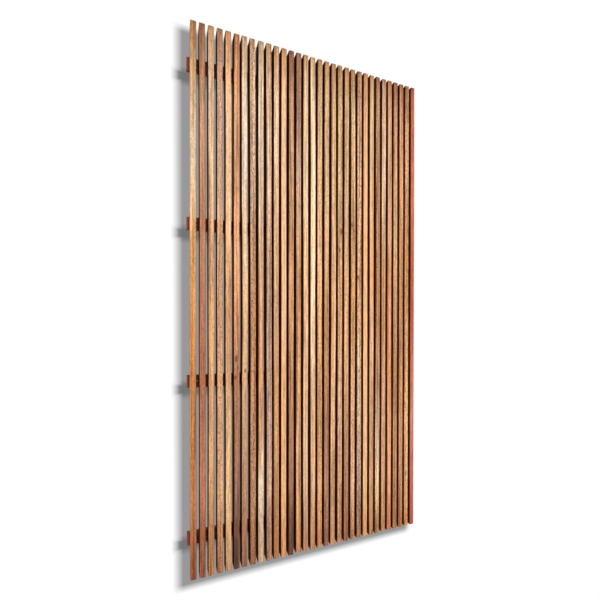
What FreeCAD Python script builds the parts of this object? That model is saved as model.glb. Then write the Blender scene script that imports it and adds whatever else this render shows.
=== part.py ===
"""Slatted garden privacy screen: upright timber slats on edge, screwed from behind to four rails.

Row frame, in millimetres: X along the width, -Y to the front, +Z up. The origin is the centre of
the plane that the rails' rear faces lie in, which is the plane the screen is fixed against.
"""
import FreeCAD, Part
import os
from FreeCAD import Vector

# --- overall size -------------------------------------------------------------------------------
PANEL_HEIGHT = 1800.0          # length of every slat
PANEL_WIDTH = 900.0            # length of every rail

# --- slats --------------------------------------------------------------------------------------
SLAT_COUNT = 32
SLAT_FACE = 19.0               # width of the narrow face that shows at the front
SLAT_DEPTH = 40.0              # front to back
SLAT_ARRIS = 2.0               # radius of the eased long edges
SLAT_END_EASE = 0.8            # bevel round each sawn end

# --- rails --------------------------------------------------------------------------------------
RAIL_COUNT = 4
RAIL_HEIGHT = 42.0
RAIL_THICKNESS = 15.0
RAIL_ARRIS = 1.5               # radius of the eased long edges
RAIL_OVERHANG = 10.0           # how far a rail stands out past the outermost slat
RAIL_INSET = 112.0             # slat end to the centre of the nearest rail

# --- wood screws, driven from behind through a rail into a slat ------------------------------------
SCREW_HEAD_DIA = 8.0
SCREW_SHANK_DIA = 4.0
SCREW_THREAD_DIA = 3.0         # envelope of the part that bites into the slat
SCREW_RIM = 0.4                # straight edge of the head above its cone
SCREW_SHANK_LENGTH = 14.0      # head face to the end of the plain shank
SCREW_LENGTH = 35.0
SCREW_POINT = 4.0              # length of the tapered tip
SCREW_TIP_DIA = 0.6
RECESS_SPAN = 4.2              # cross recess, tip to tip
RECESS_WIDTH = 0.9
RECESS_DEPTH = 1.6
SHANK_CLEARANCE = 0.2          # round the shank in the rail
PILOT_CLEARANCE = 0.05         # round the thread in the slat
PILOT_RUN_OUT = 2.0            # drilled on past the tip
SCREW_HEAD_SINK = 0.3          # head face below the rail's rear face

# --- fixing holes through the rails, one in the first gap and one in the last -----------------------
FIXING_HOLE_DIA = 5.0

# --- derived ------------------------------------------------------------------------------------
SLAT_RUN = PANEL_WIDTH - 2.0 * RAIL_OVERHANG           # first slat's outer face to the last's
SLAT_PITCH = (SLAT_RUN - SLAT_FACE) / (SLAT_COUNT - 1)
SLAT_GAP = SLAT_PITCH - SLAT_FACE
RAIL_FRONT_Y = -RAIL_THICKNESS
SLAT_FRONT_Y = RAIL_FRONT_Y - SLAT_DEPTH
RAIL_SPACING = (PANEL_HEIGHT - 2.0 * RAIL_INSET) / (RAIL_COUNT - 1)
CONE_DEPTH = (SCREW_HEAD_DIA - SCREW_SHANK_DIA) / 2.0  # 90 degree countersink
RAIL_NAMES = ("rail_top", "rail_upper", "rail_lower", "rail_bottom")
FORWARD = Vector(0.0, -1.0, 0.0)                       # the way a screw is driven


def slat_x(index):
    """Centre of a slat across the width, counted from 0 at the left."""
    return -SLAT_RUN / 2.0 + SLAT_FACE / 2.0 + index * SLAT_PITCH


def rail_z(index):
    """Centre height of a rail, counted from 0 at the top."""
    return PANEL_HEIGHT / 2.0 - RAIL_INSET - index * RAIL_SPACING


def fixing_x():
    """Centre of the first and the last gap between slats."""
    first = slat_x(0) + SLAT_PITCH / 2.0
    return (first, -first)


def edges_along(shape, direction):
    """Straight edges of a shape that run along a direction."""
    return [edge for edge in shape.Edges
            if abs(abs(edge.tangentAt(edge.FirstParameter).dot(direction)) - 1.0) < 1e-6]


def end_edges(shape, axis, half_length):
    """Edges that lie in the two end planes of a length of timber."""
    found = []
    for edge in shape.Edges:
        middle = getattr(edge.CenterOfMass, axis)
        span = [getattr(vertex.Point, axis) for vertex in edge.Vertexes]
        if abs(abs(middle) - half_length) < 1e-6 and max(span) - min(span) < 1e-6:
            found.append(edge)
    return found


def rod(diameter, length, start):
    """Round bar driven forwards from a point on its axis."""
    return Part.makeCylinder(diameter / 2.0, length, start, FORWARD)


def cone(wide, narrow, length, start):
    """Round taper driven forwards, wide end first."""
    return Part.makeCone(wide / 2.0, narrow / 2.0, length, start, FORWARD)


def slat_shape(index):
    """One slat with eased edges and a pilot hole for each rail's screw."""
    x = slat_x(index)
    corner = Vector(-SLAT_FACE / 2.0, SLAT_FRONT_Y, -PANEL_HEIGHT / 2.0)
    body = Part.makeBox(SLAT_FACE, SLAT_DEPTH, PANEL_HEIGHT, corner)
    body = body.makeFillet(SLAT_ARRIS, edges_along(body, Vector(0, 0, 1)))
    body = body.makeChamfer(SLAT_END_EASE, end_edges(body, "z", PANEL_HEIGHT / 2.0))
    pilot_depth = SCREW_HEAD_SINK + SCREW_LENGTH - RAIL_THICKNESS + PILOT_RUN_OUT
    pilots = [rod(SCREW_THREAD_DIA + 2.0 * PILOT_CLEARANCE, pilot_depth,
                  Vector(0.0, RAIL_FRONT_Y, rail_z(rail)))
              for rail in range(RAIL_COUNT)]
    body = body.cut(Part.makeCompound(pilots))
    body.translate(Vector(x, 0.0, 0.0))
    return body.Solids[0]


def rail_shape(index):
    """One rail with a countersunk hole behind every slat and two plain fixing holes."""
    z = rail_z(index)
    corner = Vector(-PANEL_WIDTH / 2.0, RAIL_FRONT_Y, z - RAIL_HEIGHT / 2.0)
    body = Part.makeBox(PANEL_WIDTH, RAIL_THICKNESS, RAIL_HEIGHT, corner)
    body = body.makeFillet(RAIL_ARRIS, edges_along(body, Vector(1, 0, 0)))
    rim = SCREW_HEAD_SINK + SCREW_RIM
    bores = []
    for slat in range(SLAT_COUNT):
        x = slat_x(slat)
        bores.append(rod(SCREW_SHANK_DIA + 2.0 * SHANK_CLEARANCE, RAIL_THICKNESS, Vector(x, 0.0, z)))
        bores.append(rod(SCREW_HEAD_DIA, rim, Vector(x, 0.0, z)).fuse(
            cone(SCREW_HEAD_DIA, SCREW_SHANK_DIA, CONE_DEPTH, Vector(x, -rim, z))))
    for x in fixing_x():
        bores.append(rod(FIXING_HOLE_DIA, RAIL_THICKNESS, Vector(x, 0.0, z)))
    return body.cut(bores).Solids[0]


def screw_shape():
    """One countersunk wood screw, its head face on the origin, driven forwards."""
    start = Vector(0.0, 0.0, 0.0)
    cone_start = Vector(0.0, -SCREW_RIM, 0.0)
    shank_start = Vector(0.0, -SCREW_RIM - CONE_DEPTH, 0.0)
    thread_start = Vector(0.0, -SCREW_SHANK_LENGTH, 0.0)
    point_start = Vector(0.0, -SCREW_LENGTH + SCREW_POINT, 0.0)
    body = rod(SCREW_HEAD_DIA, SCREW_RIM, start)
    body = body.fuse(cone(SCREW_HEAD_DIA, SCREW_SHANK_DIA, CONE_DEPTH, cone_start))
    body = body.fuse(rod(SCREW_SHANK_DIA, SCREW_SHANK_LENGTH - SCREW_RIM - CONE_DEPTH, shank_start))
    body = body.fuse(rod(SCREW_THREAD_DIA, SCREW_LENGTH - SCREW_SHANK_LENGTH - SCREW_POINT, thread_start))
    body = body.fuse(cone(SCREW_THREAD_DIA, SCREW_TIP_DIA, SCREW_POINT, point_start))
    for span_x, span_z in ((RECESS_SPAN, RECESS_WIDTH), (RECESS_WIDTH, RECESS_SPAN)):
        corner = Vector(-span_x / 2.0, -RECESS_DEPTH, -span_z / 2.0)
        body = body.cut(Part.makeBox(span_x, RECESS_DEPTH, span_z, corner))
    return body.removeSplitter().Solids[0]


def screw_row(index):
    """The screws of one rail, one behind every slat."""
    screw = screw_shape()
    screws = []
    for slat in range(SLAT_COUNT):
        placed = screw.copy()
        placed.translate(Vector(slat_x(slat), -SCREW_HEAD_SINK, rail_z(index)))
        screws.append(placed)
    return Part.makeCompound(screws)


def build():
    os.makedirs("parts", exist_ok=True)
    for index in range(SLAT_COUNT):
        slat_shape(index).exportStep("parts/slat_%02d.step" % (index + 1))
    for index, name in enumerate(RAIL_NAMES):
        rail_shape(index).exportStep("parts/%s.step" % name)
        screw_row(index).exportStep("parts/screws_%s.step" % name)


build()
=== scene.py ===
"""Slatted garden privacy screen: timber slats on edge, dark rails behind them, and the plain
studio round it.

Everything is in metres in the row frame: X along the width, -Y out of the slatted front, +Z up.
"""

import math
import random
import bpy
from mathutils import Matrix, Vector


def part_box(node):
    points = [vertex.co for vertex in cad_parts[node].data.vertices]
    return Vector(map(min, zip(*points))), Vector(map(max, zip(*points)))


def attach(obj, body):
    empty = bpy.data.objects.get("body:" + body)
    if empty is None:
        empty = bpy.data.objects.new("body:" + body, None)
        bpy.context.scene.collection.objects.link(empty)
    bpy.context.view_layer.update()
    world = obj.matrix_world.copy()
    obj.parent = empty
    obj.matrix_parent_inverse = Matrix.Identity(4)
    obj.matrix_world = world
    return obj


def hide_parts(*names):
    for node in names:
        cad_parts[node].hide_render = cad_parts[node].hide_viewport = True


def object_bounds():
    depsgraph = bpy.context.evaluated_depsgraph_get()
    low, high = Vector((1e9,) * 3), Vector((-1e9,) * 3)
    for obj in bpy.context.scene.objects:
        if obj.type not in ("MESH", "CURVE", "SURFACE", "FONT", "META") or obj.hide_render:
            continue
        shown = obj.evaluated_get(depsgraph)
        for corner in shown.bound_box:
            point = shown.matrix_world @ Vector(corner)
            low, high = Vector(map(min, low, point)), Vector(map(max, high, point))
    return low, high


bl_info = {
    "name": "Garden Privacy Screen",
    "version": (1, 0, 0),
    "blender": (4, 5, 0),
    "location": "3D View > Sidebar > Privacy Screen",
    "description": "Dresses a timber screen's slats, rails and screws and sets up its studio",
    "category": "Object",
}

import bpy
from bpy.props import FloatProperty, FloatVectorProperty, PointerProperty
from mathutils import Matrix, Vector

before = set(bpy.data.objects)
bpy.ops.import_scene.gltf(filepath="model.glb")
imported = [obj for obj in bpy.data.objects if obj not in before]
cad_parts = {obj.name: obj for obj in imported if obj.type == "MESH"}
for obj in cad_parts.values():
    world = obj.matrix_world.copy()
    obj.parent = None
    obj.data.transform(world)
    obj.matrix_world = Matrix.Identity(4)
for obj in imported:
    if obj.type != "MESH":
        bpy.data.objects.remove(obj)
CAD_LOW, CAD_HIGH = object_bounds()

SLATS = ["slat_%02d" % number for number in range(1, 33)]
RAILS = ["rail_top", "rail_upper", "rail_lower", "rail_bottom"]
SCREWS = ["screws_" + rail for rail in RAILS]

# --- the timber store ---------------------------------------------------------------------------
# Tones as they look in plain light, 0 to 255.
TONES = {
    "ivory": (243, 206, 168),
    "pearl": (228, 198, 170),
    "cream": (240, 202, 160),
    "sand": (226, 186, 150),
    "peach": (238, 186, 140),
    "apricot": (229, 173, 125),
    "straw": (220, 175, 130),
    "honey": (211, 159, 112),
    "orange": (218, 153, 108),
    "gold": (202, 149, 95),
    "amber": (198, 136, 80),
    "rose": (207, 160, 124),
    "beige": (206, 166, 137),
    "tan": (203, 151, 110),
    "ash": (190, 152, 127),
    "toffee": (188, 136, 97),
    "terracotta": (197, 134, 96),
    "copper": (172, 110, 66),
    "brown": (174, 125, 89),
    "russet": (174, 108, 74),
    "mauve": (168, 120, 93),
    "umber": (116, 76, 53),
    "vermilion": (176, 84, 54),
    "flame": (198, 108, 72),
    "coral": (184, 102, 77),
    "blush": (198, 132, 108),
}

# One line for each slat, from the left: its few main tones with how far from the top each one
# lies, how flecked and how streaked it is, and how steeply one tone runs into the next.
CUTTING_LIST = (
    # On the first slat, the pearl patch about a quarter of the way down is a painted highlight.
    (("honey", 0.05), ("pearl", 0.25), ("gold", 0.38), ("amber", 0.55), ("copper", 0.9),
     0.3, 0.5, 2.0),
    (("toffee", 0.1), ("russet", 0.6), 0.35, 0.4, 1.0),
    (("sand", 0.25), ("tan", 0.4), ("honey", 0.6), 0.35, 0.5, -7.0),
    (("rose", 0.3), ("tan", 0.65), 0.8, 0.5, 2.0),
    (("peach", 0.4), ("toffee", 0.5), ("straw", 0.75), 0.35, 0.3, 3.0),
    (("orange", 0.55), ("terracotta", 0.66), ("umber", 0.92), 0.5, 0.6, 7.0),
    (("pearl", 0.25), ("straw", 0.5), ("mauve", 0.9), 0.35, 0.5, 4.0),
    (("sand", 0.12), ("toffee", 0.5), ("brown", 0.85), 1.0, 0.6, 2.0),
    (("pearl", 0.15), ("tan", 0.5), ("tan", 0.77), ("pearl", 0.83), 0.35, 0.6, 6.0),
    (("sand", 0.12), ("ash", 0.4), 0.6, 0.6, 3.0),
    (("sand", 0.2), ("toffee", 0.6), 0.5, 0.5, 2.0),
    (("peach", 0.3), ("apricot", 0.7), 0.15, 0.3, 1.0),
    (("mauve", 0.08), ("tan", 0.25), ("tan", 0.55), ("umber", 0.95), 0.5, 0.7, 1.0),
    (("mauve", 0.08), ("beige", 0.25), ("brown", 0.5), ("tan", 0.65), 0.5, 0.7, 5.0),
    (("cream", 0.3), ("peach", 0.5), ("beige", 0.85), 0.3, 0.6, 1.0),
    (("ivory", 0.35), ("cream", 0.6), ("rose", 0.8), 0.25, 0.5, 5.0),
    (("straw", 0.2), ("peach", 0.4), ("honey", 0.6), 0.7, 0.5, 3.0),
    (("straw", 0.25), ("toffee", 0.5), ("mauve", 0.8), 0.5, 0.6, 1.0),
    (("straw", 0.2), ("peach", 0.45), ("rose", 0.75), 0.5, 0.6, 3.0),
    (("straw", 0.25), ("tan", 0.4), ("rose", 0.8), 0.7, 0.5, 2.0),
    (("straw", 0.25), ("apricot", 0.6), ("mauve", 0.85), 0.5, 0.5, 1.0),
    (("straw", 0.25), ("gold", 0.45), ("rose", 0.75), 0.7, 0.7, 4.0),
    (("rose", 0.25), ("tan", 0.52), ("cream", 0.6), ("ash", 0.85), 0.9, 0.7, 2.0),
    (("apricot", 0.2), ("peach", 0.75), 0.15, 0.3, 1.0),
    (("straw", 0.2), ("orange", 0.42), ("peach", 0.6), ("tan", 0.8), 0.3, 0.4, 2.0),
    (("toffee", 0.2), ("brown", 0.62), ("sand", 0.75), 0.8, 0.7, 4.0),
    (("sand", 0.2), ("toffee", 0.5), ("rose", 0.75), 0.4, 0.4, 2.0),
    (("tan", 0.25), ("orange", 0.5), 0.4, 0.5, 2.0),
    (("toffee", 0.1), ("straw", 0.3), ("toffee", 0.65), 0.5, 0.5, 1.0),
    (("orange", 0.2), ("toffee", 0.45), 0.6, 0.5, 1.0),
    (("tan", 0.2), ("gold", 0.45), ("apricot", 0.78), 0.8, 0.5, 3.0),
    (("flame", 0.3), ("vermilion", 0.55), ("blush", 0.75), ("coral", 0.9), 0.2, 0.4, 1.0),
)

# Knots: slat number, how far from the top, how far across the face, radius in metres.
KNOTS = (
    (6, 0.605, 0.35, 0.0060),
    (6, 0.622, 0.70, 0.0040),
    (6, 0.640, 0.25, 0.0050),
    (7, 0.628, 0.55, 0.0045),
    (20, 0.345, 0.70, 0.0065),
    (20, 0.385, 0.40, 0.0050),
    (22, 0.330, 0.25, 0.0055),
    (23, 0.440, 0.30, 0.0060),
    (31, 0.880, 0.45, 0.0060),
)

# --- how a slat is worked -----------------------------------------------------------------------
# The slats whose bow shows: how far each stands off its straight line sideways, to the nearest half
# millimetre, at its top, a quarter of the way down, half way, three quarters and at its foot. The
# rest wander a little by chance.
BOWS = {
    1: (0.0, -0.5, -1.5, -1.5, -1.0),
    7: (-1.5, -1.5, 0.5, -1.0, -1.5),
    8: (-2.0, -0.5, 0.5, 0.0, 0.0),
    10: (0.0, 1.0, 1.0, 2.5, 2.0),
    16: (-1.0, 1.0, 0.0, 1.0, 0.5),
    19: (0.0, 1.0, 1.5, -1.0, -1.5),
    22: (-1.0, 1.0, 1.0, 0.0, -0.5),
    26: (-1.0, 0.5, 1.5, 0.0, -1.0),
}
BOW_PLACES = 5    # how many places down a slat its bow is given at

# Wane: slat number, from and to down the length, extra easing of the left arris in metres.
WANES = (
    (3, 0.20, 0.42, 0.0020),
    (6, 0.64, 0.92, 0.0038),
    (7, 0.30, 0.62, 0.0022),
    (9, 0.22, 0.82, 0.0040),
    (10, 0.30, 0.56, 0.0034),
    (16, 0.58, 0.97, 0.0042),
    (19, 0.45, 0.75, 0.0025),
    (22, 0.05, 0.28, 0.0030),
    (22, 0.50, 0.82, 0.0030),
    (26, 0.20, 0.62, 0.0036),
    (27, 0.30, 0.60, 0.0025),
)
WANE_FADE = 0.06    # share of the length over which a wane comes and goes

EASING_SPREAD = (0.85, 1.25)    # smallest and largest share of the set arris that a hand leaves
ARRIS_SWELL = 0.15              # how much the left arris swells and thins down the slat
SWELL_RATE = 9.0                # how fast it does so, in radians to a metre
END_SHORT = 0.0009              # most that a saw cut takes off an end, in metres
CORNER_STEPS = 4                # faces round one eased edge
SEED_STEP = 7919                # keeps the chance of one slat apart from the next
GRAIN_SHIFT = (0.731, 0.417, 2.113)    # metres by which each slat's grain is shifted from the last

# --- the timber's figure and finish -------------------------------------------------------------
# Each layer of the figure: how many features there are to a metre across and along the slat, how
# much finer detail they hold, and how warped they are.
LAYERS = {
    "fibre": (420.0, 24.0, 5.0, 0.0),
    "streak": (150.0, 3.0, 3.0, 0.4),
    "cloud": (55.0, 4.5, 2.0, 0.0),
    "fleck": (380.0, 120.0, 2.0, 0.0),
    "mottle": (300.0, 170.0, 3.0, 0.0),
    "pore": (1300.0, 120.0, 2.0, 0.0),
    "warmth": (110.0, 3.5, 2.0, 0.0),
}
# What the figure does to a tone: the layer that is read, the span of it that counts, and what the
# two ends of that span become.
GAINS = {
    "fibre": ("fibre", 0.3, 0.7, 0.74, 1.22),
    "streak": ("streak", 0.3, 0.7, -0.80, 0.55),
    "cloud": ("cloud", 0.3, 0.7, 0.93, 1.07),
    "dark fleck": ("fleck", 0.52, 0.68, 0.0, 0.62),
    "pale fleck": ("fleck", 0.47, 0.32, 0.0, 0.30),
    "pore": ("pore", 0.60, 0.72, 1.0, 0.78),
    "mottle": ("mottle", 0.3, 0.7, 0.88, 1.12),
    "warmth": ("warmth", 0.38, 0.62, 0.0, 1.0),
}
NOISE_SPAN = (0.3, 0.7)           # what most values of a noise lie between
COOL_TINT = (0.98, 1.0, 1.06, 1.0)
WARM_TINT = (1.03, 0.995, 0.86, 1.0)
HEARTWOOD_DEPTH = 1.12            # how much redder the dark figure is
DARK_FIGURE = (1.0, 0.6)          # gains at which that begins and is complete
FACE_ROUGHNESS = (0.7, 1.15, 0.58, 0.36)    # gains of dark and pale figure, and how rough each is

RAGGED = (90.0, 5.0, 3.0)         # ragged border between tones: features across, along, detail
RAGGED_REACH = 0.07               # how far it strays up and down, in metres
GAP_SIDE_PAINTED_SHADE = (0.17, 0.062, 0.036, 1.0)    # painted shade: share of each colour left on a side that faces another slat
GAP_SIDE_ROUGHNESS = 0.95
INNER_SIDE = (0.45, 0.95)         # sideways turn at which a face begins to count, and fully does
TOP_PAINTED_SHADE = (0.66, 0.55, 0.44, 1.0)       # painted shade: share of each colour that is left at a sawn end
FOOT_PAINTED_SHADE = (0.66, 0.50, 0.35, 1.0)
TOP_PAINTED_SHADE_LENGTH, FOOT_PAINTED_SHADE_LENGTH = 0.16, 0.24    # how far from the end it reaches, in metres
OIL_IOR = 1.45
OIL_SHEEN_LEVEL = 0.25
GRAIN_BUMP = 0.5

KNOT_SHAPE = (1.0, 0.25, 0.5)     # how tightly a knot is drawn in across, into and along the slat
KNOT_WOBBLE = (160.0, 90.0)       # features of its edge to a metre across and along
KNOT_EDGE = (1.65, 1.05)          # in radii, where the knot begins to show and where it is full
KNOT_COVER = 0.62

END_RINGS = 60.0
END_RING_WARP = 3.0
END_RING_GAIN = (0.42, 0.56)
END_PORES = 1500.0
END_PORE_GAIN = (0.45, 0.65, 1.0, 0.7)    # the span that counts, and what its two ends become
END_ROUGHNESS = 0.75

# Features to a metre along X, Y and Z.
RAIL_FIBRE = (22.0, 800.0, 800.0)
RAIL_WEAR = (6.0, 120.0, 120.0)
TURNING_MARKS = (2500.0, 300.0, 2500.0)
RAIL_FIBRE_GAIN = (0.75, 1.2)
RAIL_WORN_SPAN = (0.42, 0.68)
RAIL_ROUGHNESS = (0.62, 0.48)
RAIL_END_PAINTED_LIGHT = (0.013, 0.004)    # painted light: from a rail's end, where the lighter colour begins and is complete
RAIL_BUMP = 0.4
RAIL_BUMP_DEPTH = 0.0003
STEEL_ROUGHNESS = (0.28, 0.45)

# --- the studio ---------------------------------------------------------------------------------
WALL_LEFT, WALL_RIGHT, WALL_TOP = -5.0, 7.0, 5.0
FLOOR_REACH = 7.0
FLOOR_GLOW_SPAN = (0.8, 2.4)      # from the middle, where the floor's glow begins to rise and ends
FLOOR_GLOW_NEAR = 0.55

# The soft shade on the wall. It reaches past the screen at the right, the top and the foot, and
# past its own left edge where a rail's shade lies.
SHADE_RIGHT, SHADE_TOP, SHADE_FOOT = 0.012, 0.020, 0.068
SHADE_BLUR_ACROSS, SHADE_BLUR_UP = 0.016, 0.013
RAIL_SHADE_DROP = 0.029           # how far below each rail its shade lies
RAIL_SHADE_REACH = 0.008
RAIL_SHADE_BLUR = 0.013
RAIL_SHADE_HALF = (0.034, 0.012)  # from its middle line, where it begins and where it is full
SHADE_CROSSING = 0.20             # how much deeper it is where the two cross

# Each lamp: its place, what it aims at, its width and its height.
LAMPS = {
    "key": ((0.30, -4.20, 0.20), (0.0, 0.0, 0.0), 0.9, 1.2),
    "sheen": ((0.7, -2.40, 1.75), (0.0, 0.0, 0.5), 3.0, 0.4),
    "rear": ((3.2, 2.20, 1.4), (0.0, 0.0, 0.0), 1.6, 1.6),
    "side": ((-3.2, -0.35, 0.30), (0.0, 0.0, 0.0), 1.2, 1.2),
}

CAMERA_PLACE = (-0.49337, -1.18394, -0.07202)
CAMERA_YAW, CAMERA_PITCH, CAMERA_ROLL = 20.803, -0.411, 0.055    # degrees; yaw turns it right
CAMERA_LENS, CAMERA_SENSOR = 20.112, 36.0    # millimetres
CAMERA_SHIFT_UP = 0.0445
CAMERA_NEAR = 0.05


def srgb(colour):
    """A colour as it looks, 0 to 1, turned into the linear values that a shader takes."""
    return tuple(c / 12.92 if c <= 0.04045 else ((c + 0.055) / 1.055) ** 2.4 for c in colour)


def opaque(colour):
    """The same with a full alpha, for a colour socket."""
    return (*srgb(colour), 1.0)


# --- settings -----------------------------------------------------------------------------------
class SlatSettings(bpy.types.PropertyGroup):
    """Sizes of the dressed slats."""
    arris: FloatProperty(
        name="Arris", description="Radius of the eased long edges",
        default=0.0024, min=0.0005, max=0.006, unit="LENGTH")
    end_bevel: FloatProperty(
        name="End bevel", description="Bevel round each sawn end",
        default=0.0009, min=0.0002, max=0.003, unit="LENGTH")
    bow: FloatProperty(
        name="Bow", description="Largest chance bow of a slat that isn't listed",
        default=0.0007, min=0.0, max=0.003, unit="LENGTH")
    ring_step: FloatProperty(
        name="Ring step", description="Distance between rings of the mesh along a slat",
        default=0.02, min=0.005, max=0.1, unit="LENGTH")
    grain_depth: FloatProperty(
        name="Grain depth", description="Depth of the open grain",
        default=0.00025, min=0.0, max=0.002, unit="LENGTH")


def tone_properties(cls):
    """One colour property for every tone in the timber store."""
    for name, tone in TONES.items():
        cls.__annotations__[name] = FloatVectorProperty(
            name=name.capitalize(), description="Timber tone " + name, subtype="COLOR_GAMMA",
            size=3, min=0.0, max=1.0, default=tuple(channel / 255.0 for channel in tone))
    return cls


@tone_properties
class ToneSettings(bpy.types.PropertyGroup):
    """Tones of the timber store."""
    knot: FloatVectorProperty(
        name="Knot", description="Tone of knots and their bark rings",
        subtype="COLOR_GAMMA", size=3, min=0.0, max=1.0, default=(0.22, 0.11, 0.07))


class RailSettings(bpy.types.PropertyGroup):
    """Finish of the rails and screws."""
    stain: FloatVectorProperty(
        name="Stain", description="Colour of the rails' dark red stain",
        subtype="COLOR_GAMMA", size=3, min=0.0, max=1.0, default=(0.38, 0.11, 0.07))
    # Also the colour of the painted light on the rails' ends.
    stain_worn_and_lit: FloatVectorProperty(
        name="Worn stain", description="Colour where the stain is thin",
        subtype="COLOR_GAMMA", size=3, min=0.0, max=1.0, default=(0.56, 0.23, 0.17))
    steel: FloatVectorProperty(
        name="Steel", description="Colour of the stainless screws",
        subtype="COLOR_GAMMA", size=3, min=0.0, max=1.0, default=(0.74, 0.73, 0.71))


class StageSettings(bpy.types.PropertyGroup):
    """Wall, floor, lamps and air."""
    wall_gap: FloatProperty(
        name="Wall gap", description="Space between the rails and the wall",
        default=0.010, min=0.0, max=0.2, unit="LENGTH")
    floor_drop: FloatProperty(
        name="Floor drop", description="Height of the screen's foot above the floor",
        default=0.95, min=0.0, max=2.0, unit="LENGTH")
    pale: FloatVectorProperty(
        name="Pale", description="Colour of the floor",
        subtype="COLOR_GAMMA", size=3, min=0.0, max=1.0, default=(0.97, 0.97, 0.97))
    wall_glow: FloatProperty(
        name="Wall glow", description="Brightness of the wall inside the screen's shade",
        default=0.315, min=0.0, max=1.0, subtype="FACTOR")
    shade_reach: FloatProperty(
        name="Shade reach", description="How far the shade on the wall stands out to the left",
        default=0.028, min=0.0, max=0.3, unit="LENGTH")
    key_power: FloatProperty(
        name="Key", description="Power of the key lamp in watts",
        default=168.0, min=0.0, max=1000.0)
    sheen_power: FloatProperty(
        name="Sheen", description="Power of the sheen lamp in watts",
        default=54.0, min=0.0, max=1000.0)
    rear_power: FloatProperty(
        name="Rear", description="Power of the lamp behind the wall in watts",
        default=130.0, min=0.0, max=1000.0)
    side_power: FloatProperty(
        name="Side", description="Power of the lamp beside the first slat in watts",
        default=40.0, min=0.0, max=1000.0)
    air: FloatProperty(
        name="Air", description="Strength of the light from all round",
        default=0.06, min=0.0, max=2.0)


# --- small helpers ------------------------------------------------------------------------------
def spline(points, where):
    """Smooth curve through (place, value) points in falling order of place, read at a place."""
    places = [p[0] for p in points]
    values = [p[1] for p in points]
    last = len(points) - 2
    span = 0
    while span < last and where < places[span + 1]:
        span += 1
    t = (where - places[span]) / (places[span + 1] - places[span])
    t = min(1.0, max(0.0, t))
    a, b = values[span], values[span + 1]
    before = values[span - 1] if span > 0 else a
    after = values[span + 2] if span < last else b
    slope_a, slope_b = (b - before) / 2.0, (after - a) / 2.0
    t2, t3 = t * t, t * t * t
    return (a * (2 * t3 - 3 * t2 + 1) + slope_a * (t3 - 2 * t2 + t)
            + b * (3 * t2 - 2 * t3) + slope_b * (t3 - t2))


def smooth_step(low, high, value):
    """Nothing below low, one above high and a smooth rise between them."""
    t = min(1.0, max(0.0, (value - low) / (high - low)))
    return t * t * (3.0 - 2.0 * t)


def new_object(name, data):
    """Object of this name in the scene."""
    piece = bpy.data.objects.new(name, data)
    bpy.context.scene.collection.objects.link(piece)
    return piece


def new_material(name):
    """Material with an empty node tree."""
    made = bpy.data.materials.new(name)
    made.use_nodes = True
    made.node_tree.nodes.clear()
    return made


def node(tree, kind, place, **values):
    """Node at a place in the editor, with its settings."""
    made = tree.nodes.new(kind)
    made.location = place
    for key, value in values.items():
        setattr(made, key, value)
    return made


def plug(tree, socket, value):
    """Links a socket to another one, or gives it a plain value."""
    if isinstance(value, bpy.types.NodeSocket):
        tree.links.new(value, socket)
    else:
        socket.default_value = value


def maths(tree, operation, first, second, place, third=None):
    """Math node whose inputs are sockets or numbers."""
    made = node(tree, "ShaderNodeMath", place, operation=operation)
    for socket, value in zip(made.inputs, (first, second, third)):
        if value is not None:
            plug(tree, socket, value)
    return made.outputs[0]


def mix_colour(tree, blend, factor, first, second, place):
    """Mix node for two colours, each a socket or plain values."""
    made = node(tree, "ShaderNodeMix", place, data_type="RGBA", blend_type=blend)
    factor_in, first_in, second_in = made.inputs[0], made.inputs[6], made.inputs[7]
    plug(tree, factor_in, factor)
    plug(tree, first_in, first)
    plug(tree, second_in, second)
    return made.outputs[2]


def scaled(tree, colour, gain, place):
    """A colour, as a socket or plain values, made lighter or darker by a gain."""
    made = node(tree, "ShaderNodeVectorMath", place, operation="SCALE")
    plug(tree, made.inputs[0], colour)
    plug(tree, made.inputs["Scale"], gain)
    return made.outputs[0]


def noise(tree, vector, stretch, detail, place, warp=0.0):
    """Noise with so many features to a metre along each axis."""
    mapping = node(tree, "ShaderNodeMapping", place)
    mapping.inputs["Scale"].default_value = stretch
    tree.links.new(vector, mapping.inputs["Vector"])
    made = node(tree, "ShaderNodeTexNoise", (place[0] + 180, place[1]))
    made.inputs["Scale"].default_value = 1.0
    made.inputs["Detail"].default_value = detail
    made.inputs["Distortion"].default_value = warp
    tree.links.new(mapping.outputs[0], made.inputs["Vector"])
    return made.outputs["Fac"]


def spread(tree, value, low, high, to_low, to_high, place):
    """A value's span from low to high, spread over another span and held at its ends."""
    made = node(tree, "ShaderNodeMapRange", place)
    tree.links.new(value, made.inputs["Value"])
    ends = {"From Min": low, "From Max": high, "To Min": to_low, "To Max": to_high}
    for name, number in ends.items():
        made.inputs[name].default_value = number
    return made.outputs["Result"]


def split_place(tree, place, vector):
    """The X, Y and Z of a vector."""
    parts = node(tree, "ShaderNodeSeparateXYZ", place)
    tree.links.new(vector, parts.inputs[0])
    return parts.outputs


def bumped(tree, height, strength, depth, place):
    """Normal of a surface with so deep a relief."""
    made = node(tree, "ShaderNodeBump", place)
    made.inputs["Strength"].default_value = strength
    made.inputs["Distance"].default_value = depth
    tree.links.new(height, made.inputs["Height"])
    return made.outputs[0]


def finish_surface(tree, shader, place):
    """Joins the last shader to the material's outlet."""
    outlet = node(tree, "ShaderNodeOutputMaterial", place)
    tree.links.new(shader.outputs[0], outlet.inputs[0])


def shown_rays(tree, place):
    """One for the rays that show the background: the camera's, and those by gloss or glass."""
    path = node(tree, "ShaderNodeLightPath", place)
    shown = maths(tree, "MAXIMUM", path.outputs["Is Camera Ray"], path.outputs["Is Glossy Ray"],
                  (place[0] + 180, place[1]))
    return maths(tree, "MAXIMUM", shown, path.outputs["Is Transmission Ray"],
                 (place[0] + 360, place[1]))


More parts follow.
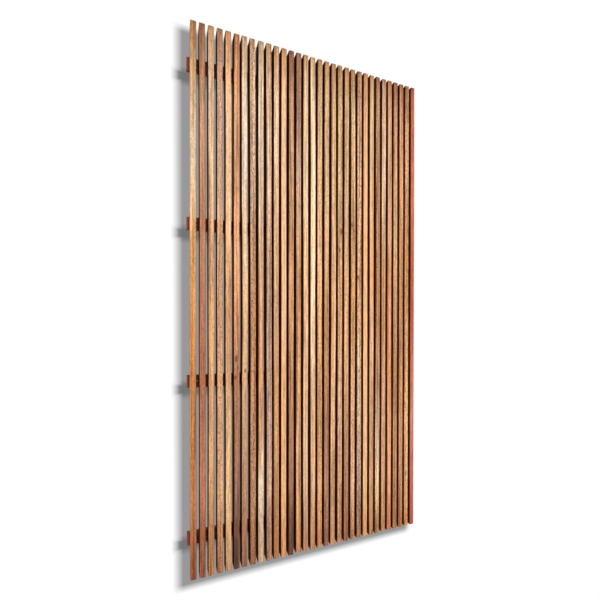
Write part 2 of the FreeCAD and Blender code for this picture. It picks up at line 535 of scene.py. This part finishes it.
# --- timber -------------------------------------------------------------------------------------
def timber_figure():
    """Node group that lays the figure over a tone and gives colour, roughness and height."""
    group = bpy.data.node_groups.new("timber figure", "ShaderNodeTree")
    inlets = (("Place", "Vector"), ("Tone", "Color"), ("Flecks", "Float"), ("Streaks", "Float"))
    outlets = (("Colour", "Color"), ("Roughness", "Float"), ("Height", "Float"))
    for direction, sockets in (("INPUT", inlets), ("OUTPUT", outlets)):
        for name, kind in sockets:
            group.interface.new_socket(name, in_out=direction, socket_type="NodeSocket" + kind)
    inlet = node(group, "NodeGroupInput", (-1400, 0))
    outlet = node(group, "NodeGroupOutput", (900, 0))
    place, tone, flecks, streaks = (inlet.outputs[index] for index in range(len(inlets)))

    layers, gains = {}, {}
    for row, (name, (across, along, detail, warp)) in enumerate(LAYERS.items()):
        stretch = (across, across, along)
        layers[name] = noise(group, place, stretch, detail, (-1100, 400 - 250 * row), warp)
    for row, (name, (layer, *spans)) in enumerate(GAINS.items()):
        gains[name] = spread(group, layers[layer], *spans, (-700, 400 - 220 * row))

    streak = maths(group, "MULTIPLY_ADD", gains["streak"], streaks, (-500, 150), 1.0)
    fleck = maths(group, "SUBTRACT", gains["pale fleck"], gains["dark fleck"], (-500, -350))
    fleck = maths(group, "MULTIPLY_ADD", fleck, flecks, (-300, -350), 1.0)
    tint = mix_colour(group, "MIX", gains["warmth"], COOL_TINT, WARM_TINT, (-500, -1100))
    tinted = mix_colour(group, "MULTIPLY", 1.0, tone, tint, (-300, -1000))
    gain = gains["fibre"]
    for column, part in enumerate((streak, gains["cloud"], fleck, gains["pore"], gains["mottle"])):
        gain = maths(group, "MULTIPLY", gain, part, (-300 + 150 * column, 250 - 100 * column))
    plain = scaled(group, tinted, gain, (420, 150))

    # Darker figure is also redder, as oiled heartwood is.
    deep = node(group, "ShaderNodeGamma", (420, -60))
    group.links.new(plain, deep.inputs[0])
    deep.inputs[1].default_value = HEARTWOOD_DEPTH
    dark = spread(group, gain, *DARK_FIGURE, 0.0, 1.0, (420, -200))
    colour = mix_colour(group, "MIX", dark, plain, deep.outputs[0], (620, 60))
    rough = spread(group, gain, *FACE_ROUGHNESS, (620, -160))
    height = maths(group, "ADD", layers["fibre"], gains["pore"], (620, -320))
    for name, socket in (("Colour", colour), ("Roughness", rough), ("Height", height)):
        group.links.new(socket, outlet.inputs[name])
    return group


def slat_place(tree, number):
    """The row frame's place and the same place shifted, so that no two slats share their grain."""
    coords = node(tree, "ShaderNodeTexCoord", (-1500, 0))
    shift = node(tree, "ShaderNodeVectorMath", (-1300, -150), operation="ADD")
    shift.inputs[1].default_value = tuple(number * step for step in GRAIN_SHIFT)
    tree.links.new(coords.outputs["Object"], shift.inputs[0])
    return coords.outputs["Object"], shift.outputs[0]


def board_tone(tree, stops, slant, box, tones, parts, grain_place):
    """The slat's tones down its length, with ragged, slanting borders between them."""
    low, high = box
    across = maths(tree, "SUBTRACT", parts["X"], (low.x + high.x) / 2.0, (-1100, 250))
    lean = maths(tree, "MULTIPLY", across, slant, (-950, 250))
    drop = maths(tree, "SUBTRACT", high.z, parts["Z"], (-1100, 100))
    drop = maths(tree, "ADD", drop, lean, (-800, 200))
    ragged_across, ragged_along, ragged_detail = RAGGED
    ragged = noise(tree, grain_place, (ragged_across, ragged_across, ragged_along),
                   ragged_detail, (-1100, -50))
    ragged = spread(tree, ragged, *NOISE_SPAN, -RAGGED_REACH, RAGGED_REACH, (-700, -50))
    drop = maths(tree, "ADD", drop, ragged, (-550, 150))
    along = maths(tree, "DIVIDE", drop, high.z - low.z, (-400, 150))
    ramp = node(tree, "ShaderNodeValToRGB", (-250, 250))
    elements = ramp.color_ramp.elements    # a new ramp already holds two
    for index, (name, where) in enumerate(stops):
        if index < 2:
            element = elements[index]
            element.position = where
        else:
            element = elements.new(where)
        element.color = opaque(getattr(tones, name))
    tree.links.new(along, ramp.inputs[0])
    return ramp.outputs[0]


def lay_knots(tree, tone, number, box, tones, place, grain_place):
    """Darkens a tone where the slat has its knots."""
    low, high = box
    across, along = KNOT_WOBBLE
    for slat, fall, side, radius in KNOTS:
        if slat != number:
            continue
        centre = Vector((low.x + side * (high.x - low.x), low.y, high.z - fall * (high.z - low.z)))
        offset = node(tree, "ShaderNodeVectorMath", (-900, -400), operation="SUBTRACT")
        tree.links.new(place, offset.inputs[0])
        offset.inputs[1].default_value = centre
        shape = node(tree, "ShaderNodeVectorMath", (-720, -400), operation="MULTIPLY")
        tree.links.new(offset.outputs[0], shape.inputs[0])
        shape.inputs[1].default_value = tuple(draw / radius for draw in KNOT_SHAPE)
        reach = node(tree, "ShaderNodeVectorMath", (-540, -400), operation="LENGTH")
        tree.links.new(shape.outputs[0], reach.inputs[0])
        wobble = noise(tree, grain_place, (across, across, along), 1.0, (-900, -600))
        edge = maths(tree, "ADD", reach.outputs["Value"], wobble, (-360, -400))
        cover = spread(tree, edge, *KNOT_EDGE, 0.0, KNOT_COVER, (-200, -400))
        tone = mix_colour(tree, "MIX", cover, tone, opaque(tones.knot), (0, 200))
    return tone


def painted_end_shade(tree, tone, height, low, high):
    """Painted shade: the slat goes darker and redder towards each sawn end."""
    top = spread(tree, height, high - TOP_PAINTED_SHADE_LENGTH, high, 0.0, 1.0, (-400, 600))
    foot = spread(tree, height, low + FOOT_PAINTED_SHADE_LENGTH, low, 0.0, 1.0, (-400, 450))
    tone = mix_colour(tree, "MULTIPLY", top, tone, TOP_PAINTED_SHADE, (-200, 600))
    return mix_colour(tree, "MULTIPLY", foot, tone, FOOT_PAINTED_SHADE, (-200, 450))


def painted_gap_shade_mask(tree, number):
    """One on the sides that face another slat: there a painted shade darkens the colour, as the
    gap's shade falls, and the surface is made matt."""
    facing = node(tree, "ShaderNodeNewGeometry", (-700, 800))
    turn = split_place(tree, (-550, 800), facing.outputs["Normal"])["X"]
    begins, counts = INNER_SIDE
    masks = []
    if number > 1:
        masks.append(spread(tree, turn, -begins, -counts, 0.0, 1.0, (-400, 850)))
    if number < len(SLATS):
        masks.append(spread(tree, turn, begins, counts, 0.0, 1.0, (-400, 700)))
    return masks[0] if len(masks) == 1 else maths(tree, "MAXIMUM", *masks, (-200, 750))


def face_material(number, box, figure, tones, settings):
    """The oiled, planed timber of one slat, from its line in the cutting list."""
    *stops, flecks, streaks, slant = CUTTING_LIST[number - 1]
    low, high = box
    made = new_material("slat %02d timber" % number)
    tree = made.node_tree
    place, grain_place = slat_place(tree, number)
    parts = split_place(tree, (-1300, 150), place)
    tone = board_tone(tree, stops, slant, box, tones, parts, grain_place)
    tone = lay_knots(tree, tone, number, box, tones, place, grain_place)
    # Painted shade: darker and redder towards the top and the foot.
    tone = painted_end_shade(tree, tone, parts["Z"], low.z, high.z)
    gap_shade = painted_gap_shade_mask(tree, number)
    # Painted shade: sides that face another slat are darkened where the gap's shade falls.
    tone = mix_colour(tree, "MULTIPLY", gap_shade, tone, GAP_SIDE_PAINTED_SHADE, (120, 550))
    laid = node(tree, "ShaderNodeGroup", (150, 100), node_tree=figure)
    tree.links.new(grain_place, laid.inputs["Place"])
    tree.links.new(tone, laid.inputs["Tone"])
    laid.inputs["Flecks"].default_value = flecks
    laid.inputs["Streaks"].default_value = streaks
    normal = bumped(tree, laid.outputs["Height"], GRAIN_BUMP, settings.grain_depth, (350, -150))
    matt = maths(tree, "MULTIPLY", gap_shade, GAP_SIDE_ROUGHNESS, (350, 300))
    rough = maths(tree, "MAXIMUM", laid.outputs["Roughness"], matt, (450, 250))
    shader = node(tree, "ShaderNodeBsdfPrincipled", (650, 100))
    shader.inputs["IOR"].default_value = OIL_IOR
    shader.inputs["Specular IOR Level"].default_value = OIL_SHEEN_LEVEL
    tree.links.new(laid.outputs["Colour"], shader.inputs["Base Color"])
    tree.links.new(rough, shader.inputs["Roughness"])
    tree.links.new(normal, shader.inputs["Normal"])
    finish_surface(tree, shader, (950, 100))
    return made


def end_material(number, tones):
    """Sawn end grain: darker, matt and pored, with growth rings."""
    first_tone = CUTTING_LIST[number - 1][0][0]
    made = new_material("slat %02d end grain" % number)
    tree = made.node_tree
    _, grain_place = slat_place(tree, number)
    rings = node(tree, "ShaderNodeTexWave", (-600, 200), wave_type="RINGS", rings_direction="Z")
    rings.inputs["Scale"].default_value = END_RINGS
    rings.inputs["Distortion"].default_value = END_RING_WARP
    rings.inputs["Detail"].default_value = 2.0
    tree.links.new(grain_place, rings.inputs["Vector"])
    pores = noise(tree, grain_place, (END_PORES, END_PORES, END_PORES), 2.0, (-800, -100))
    ring_gain = spread(tree, rings.outputs["Fac"], 0.0, 1.0, *END_RING_GAIN, (-400, 200))
    pore_gain = spread(tree, pores, *END_PORE_GAIN, (-400, -100))
    gain = maths(tree, "MULTIPLY", ring_gain, pore_gain, (-200, 100))
    tone = scaled(tree, srgb(getattr(tones, first_tone)), gain, (0, 100))
    shader = node(tree, "ShaderNodeBsdfPrincipled", (200, 100))
    shader.inputs["Roughness"].default_value = END_ROUGHNESS
    tree.links.new(tone, shader.inputs["Base Color"])
    finish_surface(tree, shader, (500, 100))
    return made


def rail_material(settings):
    """Dark red stained timber, worn thin along the grain, with painted light on the rails' ends."""
    made = new_material("stained rail timber")
    tree = made.node_tree
    place = node(tree, "ShaderNodeTexCoord", (-1100, 0)).outputs["Object"]
    fibre = noise(tree, place, RAIL_FIBRE, 4.0, (-900, 200))
    wear = noise(tree, place, RAIL_WEAR, 3.0, (-900, -100))
    worn = spread(tree, wear, *RAIL_WORN_SPAN, 0.0, 1.0, (-500, -100))
    along = split_place(tree, (-900, -350), place)["X"]
    from_middle = maths(tree, "ABSOLUTE", along, 0.0, (-700, -350))
    # Painted light: each rail's ends, past the outer slats, are lightened to the worn colour.
    begins, complete = (CAD_HIGH.x - inset for inset in RAIL_END_PAINTED_LIGHT)
    painted_end_light = spread(tree, from_middle, begins, complete, 0.0, 1.0, (-500, -350))
    # Real wear along the grain, together with the painted light on the ends.
    thin = maths(tree, "MAXIMUM", worn, painted_end_light, (-350, -200))
    tone = mix_colour(tree, "MIX", thin, opaque(settings.stain), opaque(settings.stain_worn_and_lit),
                      (-300, 50))
    gain = spread(tree, fibre, *NOISE_SPAN, *RAIL_FIBRE_GAIN, (-500, 250))
    rough = spread(tree, fibre, *NOISE_SPAN, *RAIL_ROUGHNESS, (-100, -50))
    shader = node(tree, "ShaderNodeBsdfPrincipled", (100, 100))
    tree.links.new(scaled(tree, tone, gain, (-100, 100)), shader.inputs["Base Color"])
    tree.links.new(rough, shader.inputs["Roughness"])
    normal = bumped(tree, fibre, RAIL_BUMP, RAIL_BUMP_DEPTH, (-100, -200))
    tree.links.new(normal, shader.inputs["Normal"])
    finish_surface(tree, shader, (400, 100))
    return made


def screw_material(settings):
    """Plain stainless steel with fine turning marks."""
    made = new_material("stainless screw")
    tree = made.node_tree
    place = node(tree, "ShaderNodeTexCoord", (-700, 0)).outputs["Object"]
    marks = noise(tree, place, TURNING_MARKS, 2.0, (-500, 0))
    rough = spread(tree, marks, *NOISE_SPAN, *STEEL_ROUGHNESS, (-150, 0))
    shader = node(tree, "ShaderNodeBsdfPrincipled", (50, 0))
    shader.inputs["Base Color"].default_value = opaque(settings.steel)
    shader.inputs["Metallic"].default_value = 1.0
    tree.links.new(rough, shader.inputs["Roughness"])
    finish_surface(tree, shader, (350, 0))
    return made


def slat_curve(number, box, settings, chance):
    """Sideways stand-off of a slat by height, from the list or by chance."""
    swing = [chance.uniform(-1.0, 1.0) * settings.bow for _ in range(BOW_PLACES)]
    listed = BOWS.get(number)
    offsets = [millimetres / 1000.0 for millimetres in listed] if listed else swing
    low, high = box
    return [(high.z + (low.z - high.z) * step / (BOW_PLACES - 1), offset)
            for step, offset in enumerate(offsets)]


def section(width, depth, arris_left, arris_right, arris_back, inset):
    """Rounded outline of a slat from above, front at -depth, counter-clockwise from left front."""
    half = width / 2.0 - inset
    near, far = -depth + inset, -inset
    corners = (
        (-half, near, 1, 1, arris_left, math.pi),
        (half, near, -1, 1, arris_right, 1.5 * math.pi),
        (half, far, -1, -1, arris_back, 0.0),
        (-half, far, 1, -1, arris_back, 0.5 * math.pi),
    )
    outline = []
    for x, y, side_x, side_y, radius, start in corners:
        centre_x, centre_y = x + side_x * radius, y + side_y * radius
        for step in range(CORNER_STEPS + 1):
            angle = start + 0.5 * math.pi * step / CORNER_STEPS
            outline.append((centre_x + radius * math.cos(angle),
                            centre_y + radius * math.sin(angle)))
    return outline


def left_arris(number, z, fall, easing):
    """Radius of the slat's left front arris at a height, with its swell and its wanes."""
    radius = easing * (1.0 + ARRIS_SWELL * math.sin(z * SWELL_RATE + number))
    for slat, start, end, extra in WANES:
        if slat == number:
            radius += (extra * smooth_step(start, start + WANE_FADE, fall)
                       * (1.0 - smooth_step(end - WANE_FADE, end, fall)))
    return radius


def slat_mesh(number, box, settings):
    """One slat's mesh: eased, slightly bowed and planed by hand, sawn at the ends."""
    low, high = box
    chance = random.Random(number * SEED_STEP)
    curve = slat_curve(number, box, settings, chance)
    width, depth, length = high.x - low.x, high.y - low.y, high.z - low.z
    centre_x, back_y = (low.x + high.x) / 2.0, high.y
    easing = [settings.arris * chance.uniform(*EASING_SPREAD) for _ in range(2)]
    short = [chance.uniform(0.0, END_SHORT) for _ in range(2)]
    top, bottom = high.z - short[0], low.z + short[1]
    bevel = settings.end_bevel
    count = int(length / settings.ring_step)
    levels = [(top, bevel)]
    levels += [(top - bevel - (top - bottom - 2 * bevel) * i / count, 0.0)
               for i in range(count + 1)]
    levels += [(bottom, bevel)]
    vertices, faces = [], []
    for z, inset in levels:
        left = left_arris(number, z, (high.z - z) / length, easing[0])
        sway = spline(curve, z)
        for x, y in section(width, depth, left, easing[1], settings.arris, inset):
            vertices.append((centre_x + sway + x, back_y + y, z))
    ring = len(vertices) // len(levels)
    for level in range(len(levels) - 1):
        for step in range(ring):
            a = level * ring + step
            b = level * ring + (step + 1) % ring
            faces.append((a, a + ring, b + ring, b))
    ends = [tuple(range(ring)), tuple(reversed(range(len(vertices) - ring, len(vertices))))]
    mesh = bpy.data.meshes.new("slat_%02d timber" % number)
    mesh.from_pydata(vertices, [], faces + ends)
    mesh.polygons.foreach_set("use_smooth", [True] * len(faces) + [False] * len(ends))
    for end in mesh.polygons[len(faces):]:
        end.material_index = 1
    mesh.update()
    return mesh


def dress(names, material):
    """Gives CAD nodes a better material and leaves their shape alone."""
    for name in names:
        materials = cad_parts[name].data.materials
        for index in range(len(materials)):
            materials[index] = material


class SCREEN_OT_slats(bpy.types.Operator):
    """Cuts the slats from the timber store and sets each one on its place"""
    bl_idname = "privacy_screen.slats"
    bl_label = "Slats"

    def execute(self, context):
        settings, tones = context.scene.screen_slats, context.scene.screen_tones
        figure = timber_figure()
        for number, name in enumerate(SLATS, start=1):
            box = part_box(name)
            piece = new_object("timber_" + name, slat_mesh(number, box, settings))
            piece.data.materials.append(face_material(number, box, figure, tones, settings))
            piece.data.materials.append(end_material(number, tones))
            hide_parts(name)
            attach(piece, "root")
        return {"FINISHED"}


class SCREEN_OT_rails(bpy.types.Operator):
    """Stains the four rails behind the slats"""
    bl_idname = "privacy_screen.rails"
    bl_label = "Rails"

    def execute(self, context):
        dress(RAILS, rail_material(context.scene.screen_rails))
        return {"FINISHED"}


class SCREEN_OT_screws(bpy.types.Operator):
    """Gives the screws their steel"""
    bl_idname = "privacy_screen.screws"
    bl_label = "Screws"

    def execute(self, context):
        dress(SCREWS, screw_material(context.scene.screen_rails))
        return {"FINISHED"}


# --- stage --------------------------------------------------------------------------------------
def plane(name, corners):
    """Flat four-cornered piece of the stage."""
    mesh = bpy.data.meshes.new(name)
    mesh.from_pydata(corners, [], [(0, 1, 2, 3)])
    mesh.update()
    return new_object(name, mesh)


def soft_band(tree, value, low, high, blur, place):
    """One between low and high, falling softly to nothing over blur at each end."""
    rise = spread(tree, value, low - blur, low + blur, 0.0, 1.0, place)
    fall = spread(tree, value, high + blur, high - blur, 0.0, 1.0, (place[0], place[1] - 150))
    return maths(tree, "MULTIPLY", rise, fall, (place[0] + 180, place[1]))


def painted_shade(tree, along, up, reach):
    """How deep the shade is at a place on the wall: the slats' soft box and the four rails' bars,
    one inside them, a little more where they cross and nothing outside."""
    left = CAD_LOW.x - reach
    wide = soft_band(tree, along, left, CAD_HIGH.x + SHADE_RIGHT, SHADE_BLUR_ACROSS, (-1150, 300))
    tall = soft_band(tree, up, CAD_LOW.z - SHADE_FOOT, CAD_HIGH.z + SHADE_TOP, SHADE_BLUR_UP,
                     (-1150, 0))
    slats = maths(tree, "MULTIPLY", wide, tall, (-800, 150))

    middles = sorted((low.z + high.z) / 2.0 for low, high in (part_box(name) for name in RAILS))
    half_step = (middles[1] - middles[0]) / 2.0
    from_lowest = maths(tree, "SUBTRACT", up, middles[0] - RAIL_SHADE_DROP, (-1150, -350))
    nearest = maths(tree, "PINGPONG", from_lowest, half_step, (-1000, -350))
    rails = soft_band(tree, along, left - RAIL_SHADE_REACH, 0.0, RAIL_SHADE_BLUR, (-800, -350))
    level = spread(tree, nearest, *RAIL_SHADE_HALF, 0.0, 1.0, (-800, -650))
    below_top = maths(tree, "LESS_THAN", up, middles[-1] + half_step, (-800, -800))
    above_foot = maths(tree, "GREATER_THAN", up, middles[0] - half_step, (-800, -950))
    for column, part in enumerate((level, below_top, above_foot)):
        rails = maths(tree, "MULTIPLY", rails, part, (-600 + 150 * column, -500 - 100 * column))

    either = maths(tree, "MAXIMUM", slats, rails, (-450, 0))
    both = maths(tree, "MULTIPLY", slats, rails, (-450, -150))
    crossing = maths(tree, "MULTIPLY", both, SHADE_CROSSING, (-300, -150))
    return maths(tree, "ADD", either, crossing, (-300, 0))


def wall_material(settings):
    """White wall with the soft grey shade of the screen painted on it; clear from behind."""
    made = new_material("white wall")
    tree = made.node_tree
    coords = node(tree, "ShaderNodeTexCoord", (-1500, 0))
    parts = split_place(tree, (-1350, 0), coords.outputs["Object"])
    shade = painted_shade(tree, parts["X"], parts["Z"], settings.shade_reach)
    glow = spread(tree, shade, 0.0, 1.0, 1.0, settings.wall_glow, (-150, 0))
    glow.node.clamp = False    # a crossing goes darker than the plain shade
    strength = maths(tree, "MULTIPLY", glow, shown_rays(tree, (-400, 400)), (50, 200))
    light = node(tree, "ShaderNodeEmission", (200, 200))
    tree.links.new(strength, light.inputs["Strength"])
    clear = node(tree, "ShaderNodeBsdfTransparent", (200, -100))
    facing = node(tree, "ShaderNodeNewGeometry", (200, -250))
    choice = node(tree, "ShaderNodeMixShader", (450, 0))
    tree.links.new(facing.outputs["Backfacing"], choice.inputs[0])
    tree.links.new(light.outputs[0], choice.inputs[1])
    tree.links.new(clear.outputs[0], choice.inputs[2])
    finish_surface(tree, choice, (650, 0))
    return made


def floor_material(settings):
    """Pale matt floor that keeps the screen's shadow and glows to white away from it."""
    made = new_material("pale floor")
    tree = made.node_tree
    coords = node(tree, "ShaderNodeTexCoord", (-900, 0))
    flat = node(tree, "ShaderNodeVectorMath", (-700, 0), operation="MULTIPLY")
    tree.links.new(coords.outputs["Object"], flat.inputs[0])
    flat.inputs[1].default_value = (1.0, 1.0, 0.0)
    reach = node(tree, "ShaderNodeVectorMath", (-500, 0), operation="LENGTH")
    tree.links.new(flat.outputs[0], reach.inputs[0])
    glow = spread(tree, reach.outputs["Value"], *FLOOR_GLOW_SPAN, FLOOR_GLOW_NEAR, 1.0, (-300, 0))
    strength = maths(tree, "MULTIPLY", glow, shown_rays(tree, (-500, 300)), (0, 200))
    light = node(tree, "ShaderNodeEmission", (150, 200))
    tree.links.new(strength, light.inputs["Strength"])
    matt = node(tree, "ShaderNodeBsdfDiffuse", (150, 0))
    matt.inputs["Color"].default_value = opaque(settings.pale)
    both = node(tree, "ShaderNodeAddShader", (350, 100))
    tree.links.new(light.outputs[0], both.inputs[0])
    tree.links.new(matt.outputs[0], both.inputs[1])
    finish_surface(tree, both, (550, 100))
    return made


def white_air(settings):
    """World that looks white and gives soft light from all round."""
    world = bpy.data.worlds.new("studio air")
    bpy.context.scene.world = world
    world.use_nodes = True
    tree = world.node_tree
    tree.nodes.clear()
    strength = spread(tree, shown_rays(tree, (-600, 100)), 0.0, 1.0, settings.air, 1.0, (0, 100))
    light = node(tree, "ShaderNodeBackground", (200, 100))
    light.inputs["Color"].default_value = (1.0, 1.0, 1.0, 1.0)
    tree.links.new(strength, light.inputs["Strength"])
    outlet = node(tree, "ShaderNodeOutputWorld", (400, 100))
    tree.links.new(light.outputs[0], outlet.inputs[0])


def lamp(name, place, target, width, height, power):
    """Rectangular lamp aimed at a point."""
    data = bpy.data.lights.new(name, "AREA")
    data.shape = "RECTANGLE"
    data.size, data.size_y = width, height
    data.energy = power
    made = new_object(name, data)
    made.location = place
    made.rotation_mode = "QUATERNION"
    made.rotation_quaternion = (Vector(target) - Vector(place)).to_track_quat("-Z", "Y")
    return made


def aimed_camera():
    """Camera near the height of the screen's middle, left of centre and turned to the right."""
    data = bpy.data.cameras.new("studio camera")
    data.sensor_width = CAMERA_SENSOR
    data.lens = CAMERA_LENS
    data.shift_y = CAMERA_SHIFT_UP
    data.clip_start = CAMERA_NEAR
    made = new_object("studio camera", data)
    yaw, pitch, roll = (math.radians(turn) for turn in (CAMERA_YAW, CAMERA_PITCH, CAMERA_ROLL))
    forward = Vector((math.sin(yaw) * math.cos(pitch), math.cos(yaw) * math.cos(pitch),
                      math.sin(pitch)))
    right = Vector((math.cos(yaw), -math.sin(yaw), 0.0))
    up = right.cross(forward)
    turned_right = right * math.cos(roll) + up * math.sin(roll)
    turned_up = up * math.cos(roll) - right * math.sin(roll)
    turn = Matrix((turned_right, turned_up, -forward)).transposed()
    made.matrix_world = Matrix.Translation(CAMERA_PLACE) @ turn.to_4x4()
    bpy.context.scene.camera = made
    return made


class SCREEN_OT_stage(bpy.types.Operator):
    """Sets the wall, the floor, the lamps and the camera"""
    bl_idname = "privacy_screen.stage"
    bl_label = "Stage"

    def execute(self, context):
        settings = context.scene.screen_stage
        wall_y = CAD_HIGH.y + settings.wall_gap
        floor_z = CAD_LOW.z - settings.floor_drop
        wall = plane("wall", [(WALL_LEFT, wall_y, floor_z), (WALL_RIGHT, wall_y, floor_z),
                              (WALL_RIGHT, wall_y, WALL_TOP), (WALL_LEFT, wall_y, WALL_TOP)])
        wall.data.materials.append(wall_material(settings))
        wall.visible_shadow = False
        wall.visible_diffuse = False
        sides = ((-1, -1), (1, -1), (1, 1), (-1, 1))
        floor = plane("floor", [(x * FLOOR_REACH, y * FLOOR_REACH, floor_z) for x, y in sides])
        floor.data.materials.append(floor_material(settings))
        lamps = {name: lamp(name + " lamp", *where, getattr(settings, name + "_power"))
                 for name, where in LAMPS.items()}
        lamps["key"].visible_glossy = False
        lamps["sheen"].visible_diffuse = False
        for thing in (wall, floor, *lamps.values(), aimed_camera()):
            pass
        white_air(settings)
        context.scene.view_settings.view_transform = "Standard"
        return {"FINISHED"}


class SCREEN_PT_panel(bpy.types.Panel):
    """Sizes, colours and steps of the privacy screen"""
    bl_label = "Privacy Screen"
    bl_idname = "SCREEN_PT_panel"
    bl_space_type = "VIEW_3D"
    bl_region_type = "UI"
    bl_category = "Privacy Screen"

    def draw(self, context):
        for operator in OPERATORS:
            self.layout.operator(operator.bl_idname)
        for group in GROUPS:
            settings = getattr(context.scene, group)
            for name in type(settings).__annotations__:
                self.layout.prop(settings, name)


OPERATORS = (SCREEN_OT_slats, SCREEN_OT_rails, SCREEN_OT_screws, SCREEN_OT_stage)
GROUPS = {
    "screen_slats": SlatSettings,
    "screen_tones": ToneSettings,
    "screen_rails": RailSettings,
    "screen_stage": StageSettings,
}
CLASSES = (*GROUPS.values(), *OPERATORS, SCREEN_PT_panel)


def register():
    """Makes the settings, the operators and the panel known."""
    for cls in CLASSES:
        bpy.utils.register_class(cls)
    for name, cls in GROUPS.items():
        setattr(bpy.types.Scene, name, PointerProperty(type=cls))


def unregister():
    """Takes them away again."""
    for name in GROUPS:
        delattr(bpy.types.Scene, name)
    for cls in reversed(CLASSES):
        bpy.utils.unregister_class(cls)


def main():
    """Builds the dressed screen and its studio."""
    register()
    bpy.ops.privacy_screen.slats()
    bpy.ops.privacy_screen.rails()
    bpy.ops.privacy_screen.screws()
    bpy.ops.privacy_screen.stage()


if __name__ == "__main__":
    main()
